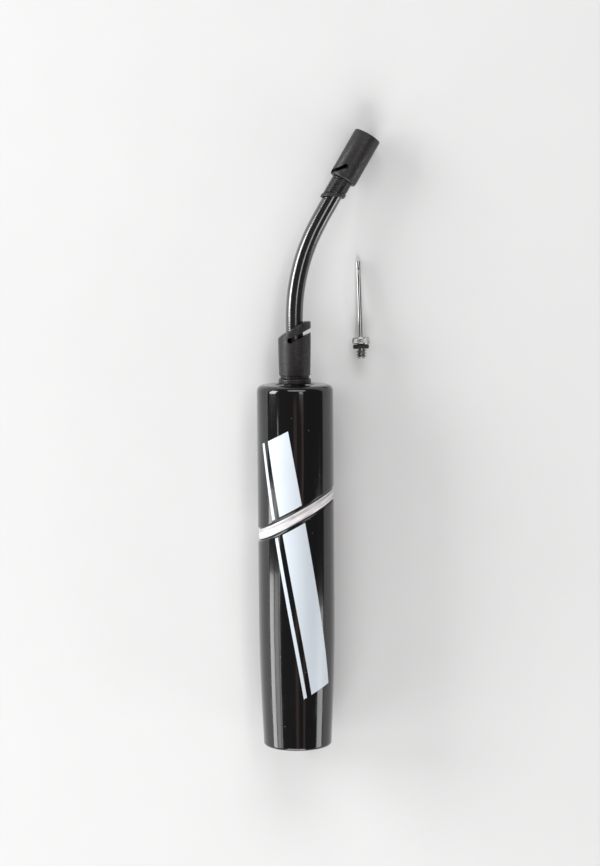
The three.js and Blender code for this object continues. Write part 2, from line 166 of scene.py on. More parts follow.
def skinned(rows: Sequence[Sequence[Vector]], looped: bool) -> Mesh:
    """Joins rings of points into one closed mesh.

    Args:
        rows: Rings with equal numbers of points, or single points where the mesh closes.
        looped: Whether the last ring joins the first.

    Returns:
        The mesh in metres, smooth shaded, with its sharp edges marked.
    """
    starts = [0]
    for row in rows:
        starts.append(starts[-1] + len(row))
    faces: list[list[int]] = []
    for index in range(len(rows) if looped else len(rows) - 1):
        after = (index + 1) % len(rows)
        a, b = starts[index], starts[after]
        count = max(len(rows[index]), len(rows[after]))
        for k in range(count):
            n = (k + 1) % count
            if len(rows[index]) == 1:
                faces.append([a, b + n, b + k])
            elif len(rows[after]) == 1:
                faces.append([a + k, a + n, b])
            else:
                faces.append([a + k, a + n, b + n, b + k])
    return closed([point for row in rows for point in row], faces)


def polished(mesh: Mesh, sharp_degrees: float = 34.0) -> Mesh:
    """Turns a mesh's faces outwards, shades it smooth and marks its sharp edges.

    Args:
        mesh: The mesh to finish.
        sharp_degrees: Edges that turn more than this stay sharp.

    Returns:
        The same mesh.
    """
    touching = 1e-7
    work = bmesh.new()
    work.from_mesh(mesh)
    bmesh.ops.remove_doubles(work, verts=work.verts, dist=touching)
    bmesh.ops.dissolve_degenerate(work, edges=work.edges, dist=touching)
    bmesh.ops.recalc_face_normals(work, faces=work.faces)
    work.to_mesh(mesh)
    work.free()
    mesh.shade_smooth()
    mesh.set_sharp_from_angle(angle=math.radians(sharp_degrees))
    return mesh


def turned(corners: Profile, sides: int = 96, edge: Edge = level, steps: int = 6) -> Mesh:
    """Turns a closed profile about the Y axis.

    Args:
        corners: The profile, with its first and last corner on the axis or joined to each other.
        sides: How many sides the turned piece has.
        edge: The rise of the slanted edge at a place across the piece.
        steps: How many pieces each rounding has.

    Returns:
        The closed mesh.
    """
    rows = []
    for radius, height, _fillet, follow in rounded([Corner(*corner) for corner in corners], steps):
        row = []
        for turn in turns(sides if radius > 1e-6 else 1):
            rise = follow * edge(radius * math.sin(turn))
            row.append(on_ring(radius, height + rise, turn))
        rows.append(row)
    on_axis = len(rows[0]) == 1 and len(rows[-1]) == 1
    return skinned(rows, looped=not on_axis)


def flat_ring(
    radii: tuple[float, float],
    heights: tuple[float, float],
    fillets: tuple[float, float, float],
    sides: int,
    edge: Edge = level,
) -> Mesh:
    """Makes a washer or a short tube about the Y axis.

    Args:
        radii: Radius of its hole and its outer radius.
        heights: Where it starts and ends.
        fillets: Rounding of the hole's edges, of the outer edge at the start, and of the one at the end.
        sides: How many sides it has.
        edge: The slant that both ends follow.

    Returns:
        The closed mesh.
    """
    (inner, outer), (low, high), (hole, start, end) = radii, heights, fillets
    profile = ((inner, low, hole, 1), (outer, low, start, 1), (outer, high, end, 1), (inner, high, hole, 1))
    return turned(profile, sides, edge)


def seal_ring(radius: float, section: float, height: float) -> Mesh:
    """Makes an O-ring about the Y axis, from its middle radius, its section's radius and its height."""
    profile = [(radius + section * math.cos(turn), height + section * math.sin(turn)) for turn in turns(16)]
    return turned(profile, sides=72)


def path_frames(points: Sequence[Vector], spacing: float) -> list[tuple[Vector, Vector, Vector, float]]:
    """Walks along a smooth curve through some points.

    Args:
        points: The points of the route.
        spacing: Distance between two steps.

    Returns:
        For each step its place, two directions across the curve, and the distance walked.
    """
    parts = 24
    dense: list[Vector] = []
    for index in range(len(points) - 1):
        before = points[max(index - 1, 0)]
        start, end = points[index], points[index + 1]
        after = points[min(index + 2, len(points) - 1)]
        for part in range(parts):
            t = part / parts
            dense.append(
                0.5 * (2 * start + (end - before) * t
                       + (2 * before - 5 * start + 4 * end - after) * t ** 2
                       + (3 * start - before - 3 * end + after) * t ** 3)
            )
    dense.append(points[-1].copy())
    walked = [0.0]
    for start, end in zip(dense, dense[1:]):
        walked.append(walked[-1] + (end - start).length)
    steps = max(2, round(walked[-1] / spacing))
    places = []
    index = 0
    for step in range(steps + 1):
        target = walked[-1] * step / steps
        while index < len(dense) - 2 and walked[index + 1] < target:
            index += 1
        share = (target - walked[index]) / max(walked[index + 1] - walked[index], 1e-9)
        places.append((dense[index].lerp(dense[index + 1], min(share, 1.0)), target))
    frames = []
    side = Vector((0, 0, 1))
    for index, (place, distance) in enumerate(places):
        start, end = places[max(index - 1, 0)][0], places[min(index + 1, steps)][0]
        forward = (end - start).normalized()
        side = (side - forward * side.dot(forward)).normalized()
        frames.append((place, side, forward.cross(side), distance))
    return frames


def swept(
    points: Sequence[Vector], radius_at: Callable[[float, float], float], spacing: float, sides: int
) -> Mesh:
    """Sweeps a round section along a route and closes both ends.

    Args:
        points: The route's points.
        radius_at: The radius at a distance along the route and an angle round it.
        spacing: Distance between two rings.
        sides: How many sides the section has.

    Returns:
        The closed mesh.
    """
    frames = path_frames(points, spacing)
    rows = [[frames[0][0]]]
    for place, side, other, distance in frames:
        row = []
        for turn in turns(sides):
            radius = radius_at(distance, turn)
            row.append(place + side * (radius * math.cos(turn)) + other * (radius * math.sin(turn)))
        rows.append(row)
    rows.append([frames[-1][0]])
    return skinned(rows, looped=False)


def prism(outline: Sequence[tuple[float, float]], low: float, high: float) -> Mesh:
    """Extrudes an outline in the XY plane from one height to another.

    Args:
        outline: The outline's points, going round it once.
        low: Its lower end in z.
        high: Its upper end in z.

    Returns:
        The closed mesh.
    """
    count = len(outline)
    points = [Vector((x, y, z)) for z in (low, high) for x, y in outline]
    faces = [list(range(count - 1, -1, -1)), list(range(count, 2 * count))]
    for k in range(count):
        n = (k + 1) % count
        faces.append([k, n, n + count, k + count])
    return closed(points, faces)


@dataclass(frozen=True)
class ReliefSlot:
    """A slot that starts at a round hole in a wall and runs out to one side.

    Attributes:
        x: Place of the hole across the piece.
        y: Place of the hole along the piece.
        hole: The hole's radius.
        width: The slot's width.
        length: How far the slot runs.
        angle: The direction in which it runs, in degrees.
        back_from: Where along its length it starts to cut the back of the wall too, or 0 if it doesn't.
        depth: How far the cut reaches from the axis, past the wall.
    """

    x: float
    y: float
    hole: float
    width: float
    length: float
    angle: float
    back_from: float = 0.0
    depth: float = 12.0

    def tools(self) -> list[Mesh]:
        """Makes the tools that cut the slot.

        Returns:
            The closed meshes: one for the front of the wall, and one for its back if it is cut too.
        """
        half, parts = self.width / 2, 24
        corner = math.asin(half / self.hole)
        outline = [(self.length, -half), (self.length, half)]
        for part in range(parts + 1):
            turn = corner + (math.tau - 2 * corner) * part / parts
            outline.append((self.hole * math.cos(turn), self.hole * math.sin(turn)))
        made = [prism(self.turned_outline(outline), -0.5, self.depth)]
        if self.back_from:
            start, end = self.back_from, self.length
            outline = [(start, -half), (end, -half), (end, half), (start, half)]
            made.append(prism(self.turned_outline(outline), -self.depth, 0))
        return made

    def turned_outline(self, outline: Sequence[tuple[float, float]]) -> list[tuple[float, float]]:
        """Returns an outline turned to the slot's direction and moved to its hole."""
        cosine, sine = math.cos(math.radians(self.angle)), math.sin(math.radians(self.angle))
        return [(self.x + a * cosine - b * sine, self.y + a * sine + b * cosine) for a, b in outline]


def carved(mesh: Mesh, tools: Sequence[Mesh], bevel: float) -> Mesh:
    """Cuts tools out of a mesh and softens the sharp edges.

    Args:
        mesh: The mesh to cut.
        tools: The closed meshes to take away.
        bevel: Width of the softened edges.

    Returns:
        A new mesh.
    """
    work, *cutters = things = [bpy.data.objects.new("work", each) for each in (mesh, *tools)]
    for thing in things:
        bpy.context.scene.collection.objects.link(thing)
    for cutter in cutters:
        boolean = work.modifiers.new("cut", "BOOLEAN")
        boolean.operation = "DIFFERENCE"
        boolean.solver = "EXACT"
        boolean.object = cutter
    soften = work.modifiers.new("soften", "BEVEL")
    soften.width = bevel * MM
    soften.segments = 2
    soften.limit_method = "ANGLE"
    soften.angle_limit = math.radians(40)
    bpy.context.view_layer.update()
    made = bpy.data.meshes.new_from_object(work.evaluated_get(bpy.context.evaluated_depsgraph_get()))
    for thing in things:
        bpy.data.objects.remove(thing)
    return polished(made, 40.0)


# ---- shader expressions ----


class Signal:
    """A number that changes over a surface, as the output of a node."""

    def __init__(self, graph: "NodeGraph", socket: Socket) -> None:
        """Wraps an output socket of a graph."""
        self.graph = graph
        self.socket = socket

    def _math(self, operation: str, first: "Operand", second: "Operand") -> "Signal":
        """Adds one Math node.

        Args:
            operation: The node's operation.
            first: Its first value.
            second: Its second value.

        Returns:
            The node's output.
        """
        made = self.graph.node("ShaderNodeMath", {"operation": operation}, {0: first, 1: second})
        return Signal(self.graph, made.outputs[0])

    def __add__(self, other: "Operand") -> "Signal":
        """Returns self + other."""
        return self._math("ADD", self, other)

    __radd__ = __add__

    def __sub__(self, other: "Operand") -> "Signal":
        """Returns self - other."""
        return self._math("SUBTRACT", self, other)

    def __rsub__(self, other: "Operand") -> "Signal":
        """Returns other - self."""
        return self._math("SUBTRACT", other, self)

    def __mul__(self, other: "Operand") -> "Signal":
        """Returns self * other."""
        return self._math("MULTIPLY", self, other)

    __rmul__ = __mul__

    def fade(self, low: float, high: float) -> "Signal":
        """Turns a range of values smoothly into 0 to 1.

        Args:
            low: The value that becomes 0.
            high: The value that becomes 1.

        Returns:
            The faded signal.
        """
        made = self.graph.node(
            "ShaderNodeMapRange",
            {"interpolation_type": "SMOOTHSTEP"},
            {"Value": self, "From Min": low, "From Max": high},
        )
        return Signal(self.graph, made.outputs["Result"])


Operand = Union[Signal, float]
Feed = Union[Signal, float, Sequence[float], Socket]
Stretch = Union[float, tuple[float, float, float], Socket]


class NodeGraph:
    """A node tree that is built from nothing."""

    def __init__(self, tree: bpy.types.NodeTree) -> None:
        """Takes over a tree and clears it."""
        self.tree = tree
        self.tree.nodes.clear()

    def node(
        self,
        kind: str,
        settings: Optional[dict[str, object]] = None,
        inputs: Optional[dict[Union[str, int], Feed]] = None,
    ) -> bpy.types.Node:
        """Adds a node.

        Args:
            kind: The node's type.
            settings: Its own properties, set first.
            inputs: A value or a link for each of its sockets.

        Returns:
            The node.
        """
        made = self.tree.nodes.new(kind)
        for key, value in (settings or {}).items():
            setattr(made, key, value)
        for key, value in (inputs or {}).items():
            self.feed(made.inputs[key], value)
        return made

    def feed(self, socket: Socket, value: Feed) -> None:
        """Sets a socket's value or links it.

        Args:
            socket: The input socket.
            value: A number, a colour, a signal or an output socket.
        """
        if isinstance(value, Signal):
            self.tree.links.new(value.socket, socket)
        elif isinstance(value, Socket):
            self.tree.links.new(value, socket)
        elif socket.type == "RGBA":
            socket.default_value = (*value, 1.0)
        else:
            socket.default_value = value


class ShaderGraph(NodeGraph):
    """The nodes of one material, around its Principled shader."""

    def __init__(self, material: bpy.types.Material) -> None:
        """Gives a material a Principled shader.

        Args:
            material: The material to build.
        """
        material.use_nodes = True
        super().__init__(material.node_tree)
        self.shader = self.node("ShaderNodeBsdfPrincipled")
        self.node("ShaderNodeOutputMaterial", inputs={"Surface": self.shader.outputs["BSDF"]})
        self.place = self.node("ShaderNodeTexCoord").outputs["Object"]

    def surface(self, looks: dict[str, Feed]) -> None:
        """Sets or links the shader's sockets by their names."""
        for name, value in looks.items():
            self.feed(self.shader.inputs[name], value)

    def stretched(self, stretch: Stretch) -> Socket:
        """Returns the place on the surface, scaled alike or by axis.

        Args:
            stretch: Cycles for each metre, all alike or for each axis, or a place that is already scaled.

        Returns:
            The scaled place.
        """
        if isinstance(stretch, Socket):
            return stretch
        cycles = stretch if isinstance(stretch, tuple) else (stretch,) * 3
        made = self.node("ShaderNodeVectorMath", {"operation": "MULTIPLY"}, {0: self.place, 1: cycles})
        return made.outputs[0]

    def along(self) -> tuple[Signal, ...]:
        """Returns the place on the surface as three signals, in metres."""
        split = self.node("ShaderNodeSeparateXYZ", inputs={0: self.place})
        return tuple(Signal(self, output) for output in split.outputs)

    def noise(self, stretch: Stretch, detail: float = 3.0, rough: float = 0.5) -> Signal:
        """Adds a noise.

        Args:
            stretch: Its scale, as stretched() takes it.
            detail: How many finer layers it has.
            rough: How strong those layers are.

        Returns:
            The noise, about 0.5 on average.
        """
        inputs = {"Vector": self.stretched(stretch), "Scale": 1.0, "Detail": detail, "Roughness": rough}
        return Signal(self, self.node("ShaderNodeTexNoise", inputs=inputs).outputs[0])

    def cells(self, stretch: Stretch) -> Signal:
        """Returns the distance to the nearest of scattered points."""
        made = self.node("ShaderNodeTexVoronoi", inputs={"Vector": self.stretched(stretch), "Scale": 1.0})
        return Signal(self, made.outputs["Distance"])

    def openness(self, reach: float) -> Signal:
        """Measures how open the surface is.

        Args:
            reach: How far away another face still counts.

        Returns:
            1 on a plain face, and less in a corner or a groove.
        """
        settings = {"samples": 8, "only_local": True}
        made = self.node("ShaderNodeAmbientOcclusion", settings, {"Distance": reach * MM})
        return Signal(self, made.outputs["AO"])

    def blend(self, factor: Operand, first: Feed, second: Feed) -> Socket:
        """Mixes two colours.

        Args:
            factor: 0 for the first colour and 1 for the second.
            first: A colour or a link.
            second: A colour or a link.

        Returns:
            The mixed colour.
        """
        return self.node("ShaderNodeMix", {"data_type": "RGBA"}, {0: factor, 6: first, 7: second}).outputs[2]

    def relief(self, height: Signal, depth: float) -> None:
        """Raises the surface's normal by a height signal.

        Args:
            height: The height, from 0 to 1.
            depth: What a height of 1 stands for.
        """
        bump = self.node("ShaderNodeBump", inputs={"Strength": 1.0, "Distance": depth * MM, "Height": height})
        self.surface({"Normal": bump.outputs["Normal"]})


# ---- finishes ----


@dataclass(frozen=True)
class Finish:
    """A plain procedural finish, which the other finishes add their own detail to.

    Attributes:
        name: The material's name.
        slot: The record's material slot.
        colour: The main colour, linear.
        roughness: The main roughness.
        metallic: 1 for metal.
        coat: Weight of a clear coat.
        index: Refractive index, which sets how strongly the surface mirrors.
    """

    name: str
    slot: str
    colour: Colour
    roughness: float
    metallic: float = 0.0
    coat: float = 0.0
    index: float = 1.5

    def material(self) -> bpy.types.Material:
        """Makes the finish's material the first time, and finds it after that.

        Returns:
            The material.
        """
        known = bpy.data.materials.get(self.name)
        if known:
            return known
        made = bpy.data.materials.new(self.name)
        graph = ShaderGraph(made)
        graph.surface({
            "Base Color": self.colour, "Roughness": self.roughness, "Metallic": self.metallic,
            "Coat Weight": self.coat, "IOR": self.index, "Coat IOR": self.index,
        })
        self.detail(graph)
        return made

    def tint(self, factor: float) -> Colour:
        """Returns the main colour, lighter or darker by a factor."""
        return tuple(min(channel * factor, 1.0) for channel in self.colour)

    def detail(self, graph: ShaderGraph) -> None:
        """Adds what changes over the surface: here a faint mottling.

        Args:
            graph: The material's nodes.
        """
        mottle = graph.noise(320, 4.0)
        graph.surface({
            "Base Color": graph.blend(mottle, self.tint(0.8), self.tint(1.25)),
            "Roughness": self.roughness + (mottle - 0.5) * 0.16,
        })
        graph.relief(graph.noise(2600, 3.0), 0.012)


@dataclass(frozen=True)
class PolishedShell(Finish):
    """Polished black moulding: faint flow, hairline scratches along the pump and a few specks of dust."""

    def detail(self, graph: ShaderGraph) -> None:
        """Adds the polish's faults.

        Args:
            graph: The material's nodes.
        """
        flow = graph.noise((60, 22, 60), 3.0)
        hairs = graph.noise((2400, 26, 2400), 2.0, 0.6).fade(0.60, 0.74)
        specks = (1 - graph.cells(360).fade(0.03, 0.11)) * graph.noise(120, 2.0).fade(0.50, 0.66)
        near_end = (graph.along()[1] * 1000).fade(105, 20)
        handled = near_end * graph.noise((85, 60, 85), 4.0).fade(0.40, 0.75)
        dusty = graph.blend(specks * 0.55, self.colour, (0.40, 0.40, 0.41))
        graph.surface({
            "Base Color": graph.blend(hairs * 0.35, dusty, self.tint(2.6)),
            "Roughness": self.roughness + (flow - 0.5) * 0.05 + (hairs + handled) * 0.10 + specks * 0.35,
        })
        graph.relief(graph.noise((240, 150, 240), 2.0) + hairs * 0.10 + specks * 0.5, 0.010)


@dataclass(frozen=True)
class SparkedGrip(Finish):
    """Matte dark moulding with a fine eroded texture and rubbed high spots."""

    def detail(self, graph: ShaderGraph) -> None:
        """Adds the eroded texture.

        Args:
            graph: The material's nodes.
        """
        cloud = graph.noise((180, 90, 180), 4.0)
        speckle = graph.noise((1000, 700, 1000), 2.0, 0.7).fade(0.40, 0.60)
        texture = graph.noise(3400, 4.0, 0.62) * 0.5 + graph.cells(2100).fade(0.1, 0.6) * 0.3 + speckle * 0.2
        light = texture.fade(0.34, 0.66) * 0.25 + speckle * 0.50 + cloud * 0.25
        graph.surface({
            "Base Color": graph.blend(light, self.tint(0.35), self.tint(1.8)),
            "Roughness": self.roughness + (cloud - 0.5) * 0.16 + (0.5 - speckle) * 0.12,
        })
        graph.relief(texture, 0.055)


@dataclass(frozen=True)
class WovenHose(Finish):
    """Black rubber over a braid that shows as a fine diagonal texture."""

    def detail(self, graph: ShaderGraph) -> None:
        """Adds the rubber's grain and its streaks.

        Args:
            graph: The material's nodes.
        """
        grain = graph.noise(2600, 3.0)
        cloud = graph.noise((260, 60, 260), 3.0)
        fleck = graph.noise(900, 2.0).fade(0.60, 0.72)
        graph.surface({
            "Base Color": graph.blend(fleck * 0.4 + cloud * 0.3, self.colour, self.tint(2.4)),
            "Roughness": self.roughness + (cloud - 0.5) * 0.16 + grain * 0.05,
        })
        graph.relief(grain, 0.014)


@dataclass(frozen=True)
class MilkyBand(Finish):
    """Milky flexible plastic with painted highlight streaks round the pump."""

    def detail(self, graph: ShaderGraph) -> None:
        """Adds the painted highlight streaks, which follow the seam's slant.

        Args:
            graph: The material's nodes.
        """
        across, along, up = graph.along()
        rise = along - across * Seam.slope
        round_seam = graph.node("ShaderNodeCombineXYZ", inputs={0: across * 70, 1: rise * 1100, 2: up * 70})
        # Painted highlight: bright streaks run round the band, mixed with a random tone, lighter than its own
        # milky colour.
        painted_highlight_streak = graph.noise(round_seam.outputs[0], 4.0, 0.6).fade(0.36, 0.64)
        painted_streaks_and_tone = painted_highlight_streak * 0.7 + graph.noise(200, 3.0).fade(0.3, 0.7) * 0.3
        graph.surface({
            "Base Color": graph.blend(painted_streaks_and_tone, self.tint(0.62), self.tint(1.28)),
            "Roughness": self.roughness + (painted_highlight_streak - 0.5) * 0.22,
            "Subsurface Weight": 0.25, "Subsurface Radius": (0.002, 0.002, 0.002),
        })
        graph.relief(painted_streaks_and_tone, 0.09)


@dataclass(frozen=True)
class StripePrint(Finish):
    """Pale print with the faint mesh and pinholes of a printing screen."""

    def detail(self, graph: ShaderGraph) -> None:
        """Adds the screen's mesh.

        Args:
            graph: The material's nodes.
        """
        mesh = graph.noise(5200, 1.0)
        cloud = graph.noise((70, 40, 70), 3.0)
        pinholes = 1 - graph.cells(380).fade(0.02, 0.05)
        ink = graph.blend(mesh * 0.25 + cloud * 0.75, self.tint(0.93), self.tint(1.05))
        graph.surface({
            "Base Color": graph.blend(pinholes * 0.3, ink, self.tint(0.5)),
            "Roughness": self.roughness + (cloud - 0.5) * 0.12,
        })
        graph.relief(mesh, 0.006)


class Metal(Enum):
    """The metals in the pump, as a colour and a roughness."""

    NICKEL = ((0.52, 0.515, 0.51), 0.11)
    STEEL = ((0.58, 0.58, 0.60), 0.26)
    BRASS = ((0.74, 0.53, 0.24), 0.24)


@dataclass(frozen=True)
class TurnedMetal(Finish):
    """Metal with fine tool marks, a few dull spots and painted shade in its corners and grooves."""

    def detail(self, graph: ShaderGraph) -> None:
        """Adds the tool marks and the painted shade in the corners and grooves.

        Args:
            graph: The material's nodes.
        """
        marks = graph.noise((140, 5200, 140), 3.0, 0.6)
        dull = graph.noise(420, 4.0)
        # Painted shade: ambient occlusion darkens the base colour towards a near-black tint in corners,
        # knurls and thread grooves.
        free_of_painted_shade = graph.openness(0.9).fade(0.40, 0.90)
        tone = graph.blend(dull, self.tint(0.86), self.tint(1.1))
        graph.surface({
            "Base Color": graph.blend(free_of_painted_shade, self.tint(0.12), tone),
            "Roughness": self.roughness + (marks - 0.5) * 0.14 + (dull - 0.5) * 0.12 + (1 - free_of_painted_shade) * 0.2,
        })
        graph.relief(marks, 0.004)


def metal(name: str, slot: str, kind: Metal) -> TurnedMetal:
    """Returns the finish of one of the pump's metals."""
    colour, roughness = kind.value
    return TurnedMetal(name, slot, colour, roughness, metallic=1.0)


SHELL = PolishedShell("shell_black_gloss", "shell_black", (0.0040, 0.0040, 0.0047), 0.10, coat=0.35)
TUBE = PolishedShell("barrel_black", "inner_black", (0.016, 0.016, 0.018), 0.24)
INNER = Finish("inner_black_moulding", "inner_black", (0.028, 0.028, 0.031), 0.42)
GRIP = SparkedGrip("collar_grey_matte", "collar_grey", (0.0150, 0.0134, 0.0144), 0.42, index=1.46)
HOSE = WovenHose("hose_black_rubber", "hose_black", (0.0040, 0.0040, 0.0050), 0.15, coat=1.0, index=1.65)
BOOT = WovenHose("boot_black_rubber", "hose_black", (0.0050, 0.0050, 0.0060), 0.30, coat=0.2)
SEAL = Finish("seal_rubber", "seal_rubber", (0.013, 0.013, 0.014), 0.62)
BAND = MilkyBand("band_milky", "ring_pale", (0.71, 0.685, 0.70), 0.20, coat=1.0)
PRINT = StripePrint("stripe_print", "shell_black", (0.645, 0.705, 0.765), 0.34)
NATURAL = Finish("natural_moulding", "rod_white", (0.66, 0.67, 0.68), 0.38)
NICKEL = metal("needle_nickel", "needle_steel", Metal.NICKEL)
STEEL = metal("spring_steel_wire", "spring_steel", Metal.STEEL)
BRASS = metal("nipple_brass_turned", "nipple_brass", Metal.BRASS)


# ---- sub-assemblies ----


def middle(node: str) -> Vector:
    """Returns the middle of a frame node's box, in millimetres."""
    low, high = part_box(node)
    return (low + high) / (2 * MM)


def ends(node: str) -> tuple[float, float]:
    """Returns where a frame node starts and ends along the pump, in millimetres."""
    low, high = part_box(node)
    return low.y / MM, high.y / MM


def placing(start: Vector, axis: Vector) -> Matrix:
    """Returns the placing in metres of pieces built about Y: their 0 goes to start, and their Y to axis."""
    turn = Vector((0, 1, 0)).rotation_difference(axis)
    return Matrix.Translation(start * MM) @ turn.to_matrix().to_4x4()


@dataclass
class Assembly:
    """A group of pieces that ride on one body of the frame.

    Attributes:
        body: The body's name.
        made: The pieces made so far.
    """

    body: str
    made: list[Piece] = field(default_factory=list)

    def piece(self, name: str, mesh: Mesh, finish: Finish, *nodes: str, show_slot: bool = True) -> Piece:
        """Puts a mesh in the scene as a piece of this assembly.

        Args:
            name: The piece's name.
            mesh: Its mesh, in place.
            finish: Its finish.
            nodes: The frame nodes that it stands for.
            show_slot: Not used.

        Returns:
            The piece.
        """
        thing = bpy.data.objects.new(name, mesh)
        bpy.context.scene.collection.objects.link(thing)
        mesh.name = name
        mesh.materials.clear()
        mesh.materials.append(finish.material())
        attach(thing, self.body)
        if nodes:
            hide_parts(*nodes)
        self.made.append(thing)
        LOG.info("%s: %d faces, rides on %s", name, len(mesh.polygons), self.body)
        return thing

    def fit(self, node: str, mesh: Mesh, finish: Finish, place: Optional[Matrix] = None) -> Piece:
        """Puts a finer mesh where a frame node was.

        Args:
            node: The frame node that it stands for.
            mesh: Its mesh.
            finish: Its finish.
            place: The mesh's placing, if it isn't built in place.

        Returns:
            The piece.
        """
        if place:
            mesh.transform(place)
        return self.piece(f"{node}_fine", mesh, finish, node)

    def dress(self, finish: Finish, *nodes: str) -> None:
        """Gives frame nodes that stay a finish of their own.

        Args:
            finish: Their finish.
            nodes: The nodes' names.
        """
        for node in nodes:
            materials = frame["nodes"][node].data.materials
            materials.clear()
            materials.append(finish.material())
            LOG.info("%s: dressed as %s", node, finish.name)


@dataclass
class Seam:
    """The slanted gap between the handle and the front shell.

    Attributes:
        centre: Where its middle crosses the axis.
        slope: Its rise for each millimetre to the right.
        gap: Its width along the axis.
    """

    centre: float = 113.5
    slope: float = 0.545
    gap: float = 5.8

    def rise(self, across: float) -> float:
        """Returns the seam's rise at a place across the pump."""
        return self.slope * across

    @property
    def low(self) -> float:
        """Where the handle ends on the axis."""
        return self.centre - self.gap / 2

    @property
    def high(self) -> float:
        """Where the front shell starts on the axis."""
        return self.centre + self.gap / 2


@dataclass
class Stripe:
    """A printed stripe, laid out on the unrolled body.

    Attributes:
        shift: Where its middle line crosses the seam's height, to the right of the top line.
        width: Its width round the body.
        lean: How far it moves to the left for each millimetre towards the hose.
        lift: How far its face stands above the body, and its back is sunk by as much.
    """

    shift: float
    width: float
    lean: float = 0.178
    lift: float = 0.05

    def mesh(self, low: float, high: float, seam: Seam, radius_at: Callable[[float], float]) -> Mesh:
        """Builds the stripe as a thin closed layer on the body.

        Args:
            low: Height of its lower end on the axis.
            high: Height of its upper end on the axis.
            seam: The seam, which both ends run parallel to.
            radius_at: The body's radius at a height.

        Returns:
            The closed mesh.
        """
        across_steps, along_steps = 14, max(8, round((high - low) / 2.5))
        full_radius = radius_at(high)
        rows = []
        for i in range(along_steps + 1):
            upper, lower = [], []
            place = low + (high - low) * i / along_steps
            for j in range(across_steps + 1):
                offset = self.width * (j / across_steps - 0.5)
                height = place
                for _ in range(4):
                    turn = (self.shift - self.lean * (height - seam.centre) + offset) / full_radius
                    height = place + seam.rise(radius_at(height) * math.sin(turn))
                radius = radius_at(height)
                upper.append(on_ring(radius + self.lift, height, turn))
                lower.append(on_ring(radius - self.lift, height, turn))
            rows.append(upper + lower[::-1])
        first, last = ([sum(row, Vector()) / len(row)] for row in (rows[0], rows[-1]))
        return skinned([first, *rows, last], looped=False)


@dataclass
class ShellHalf(Assembly):
    """One half of the glossy body, with its part of the print.

    Attributes:
        seam: The gap between the halves.
        radius: The body's radius.
        rim: Rounding of the edge at the seam.
        stripes: The printed stripes.
        margin: Plain space between the seam and the print.
    """

    seam: Seam = field(default_factory=Seam)
    radius: float = 18.4
    rim: float = 1.1
    stripes: tuple[Stripe, ...] = (Stripe(-2.0, 12.0), Stripe(-11.5, 1.7))
    margin: float = 1.7

    def body_radius(self, _height: float) -> float:
        """Returns the body's radius at a height, the same all along it unless the half is tapered."""
        return self.radius

    def print_stripes(self, half: str, low: float, high: float) -> None:
        """Prints the stripes on the body.

        Args:
            half: What the half is called in their names.
            low: Where they start on the axis.
            high: Where they end on the axis.
        """
        for number, stripe in enumerate(self.stripes, 1):
            mesh = stripe.mesh(low, high, self.seam, self.body_radius)
            self.piece(f"{half}_stripe_{number}", mesh, PRINT, show_slot=False)


@dataclass
class Barrel(ShellHalf):
    """The fixed half: the front shell, the pale ring in the seam, the barrel and what the head holds."""

    body: str = "barrel"
    shoulder: float = 3.2
    shell_bore: float = 15.9
    wall: float = 3.0
    spigot_hole: float = 5.6
    recess: float = 9.2
    recess_depth: float = 0.35
    tube_radius: float = 15.6
    tube_bore: float = 13.8
    ring_radius: float = 18.05
    barrel_oring: tuple[float, float, float] = (12.3, 1.15, 162.3)
    spigot_oring: tuple[float, float, float] = (4.75, 0.6, 183.2)
    print_end: float = 157.0

    def front_shell(self) -> None:
        """Builds the polished front shell with its rounded shoulder and seam rim."""
        top, bore, hole, start = ends("front_shell")[1], self.shell_bore, self.spigot_hole, self.seam.high
        sunk, inside, halfway = top - self.recess_depth, top - self.wall, 140
        mesh = turned(
            (
                (bore, start, 0.5, 1), (self.radius, start, self.rim, 1), (self.radius, halfway),
                (self.radius, top, self.shoulder), (self.recess + 0.4, top, 0.3), (self.recess, sunk, 0.2),
                (hole, sunk, 0.15), (hole, inside), (bore, inside, 0.6), (bore, halfway),
            ),
            sides=160, edge=self.seam.rise, steps=10,
        )
        self.fit("front_shell", mesh, SHELL)

    def seam_ring(self) -> None:
        """Builds the milky ring that fills the seam, with one fine groove near its upper edge."""
        low, high = self.seam.low + 0.3, self.seam.high - 0.3
        inner, crown = self.tube_radius + 0.3, self.ring_radius
        groove, depth = high - 1.35, 0.4
        mesh = turned(
            (
                (inner, low, 0.1, 1), (crown - 0.22, low, 0.3, 1), (crown, low + 1.2, 1.0, 1),
                (crown - 0.02, groove - 0.34, 0.12, 1), (crown - depth, groove - 0.12, 0.1, 1),
                (crown - depth, groove + 0.12, 0.1, 1), (crown - 0.02, groove + 0.34, 0.12, 1),
                (crown - 0.2, high, 0.35, 1), (inner, high, 0.1, 1),
            ),
            sides=160, edge=self.seam.rise,
        )
        self.fit("seam_ring", mesh, BAND)

    def build(self) -> None:
        """Builds the whole fixed half."""
        self.front_shell()
        self.seam_ring()
        tube = flat_ring((self.tube_bore, self.tube_radius), ends("barrel_tube"), (0.3, 0.5, 0.3), 128)
        self.fit("barrel_tube", tube, TUBE)
        self.print_stripes("front", self.seam.high + self.margin, self.print_end)
        self.fit("barrel_oring", seal_ring(*self.barrel_oring), SEAL)
        self.fit("spigot_oring", seal_ring(*self.spigot_oring), SEAL)
        self.dress(INNER, "rod_guide", "outlet_head")
        self.dress(NATURAL, "valve_retainer")
        self.dress(STEEL, "valve_spring")


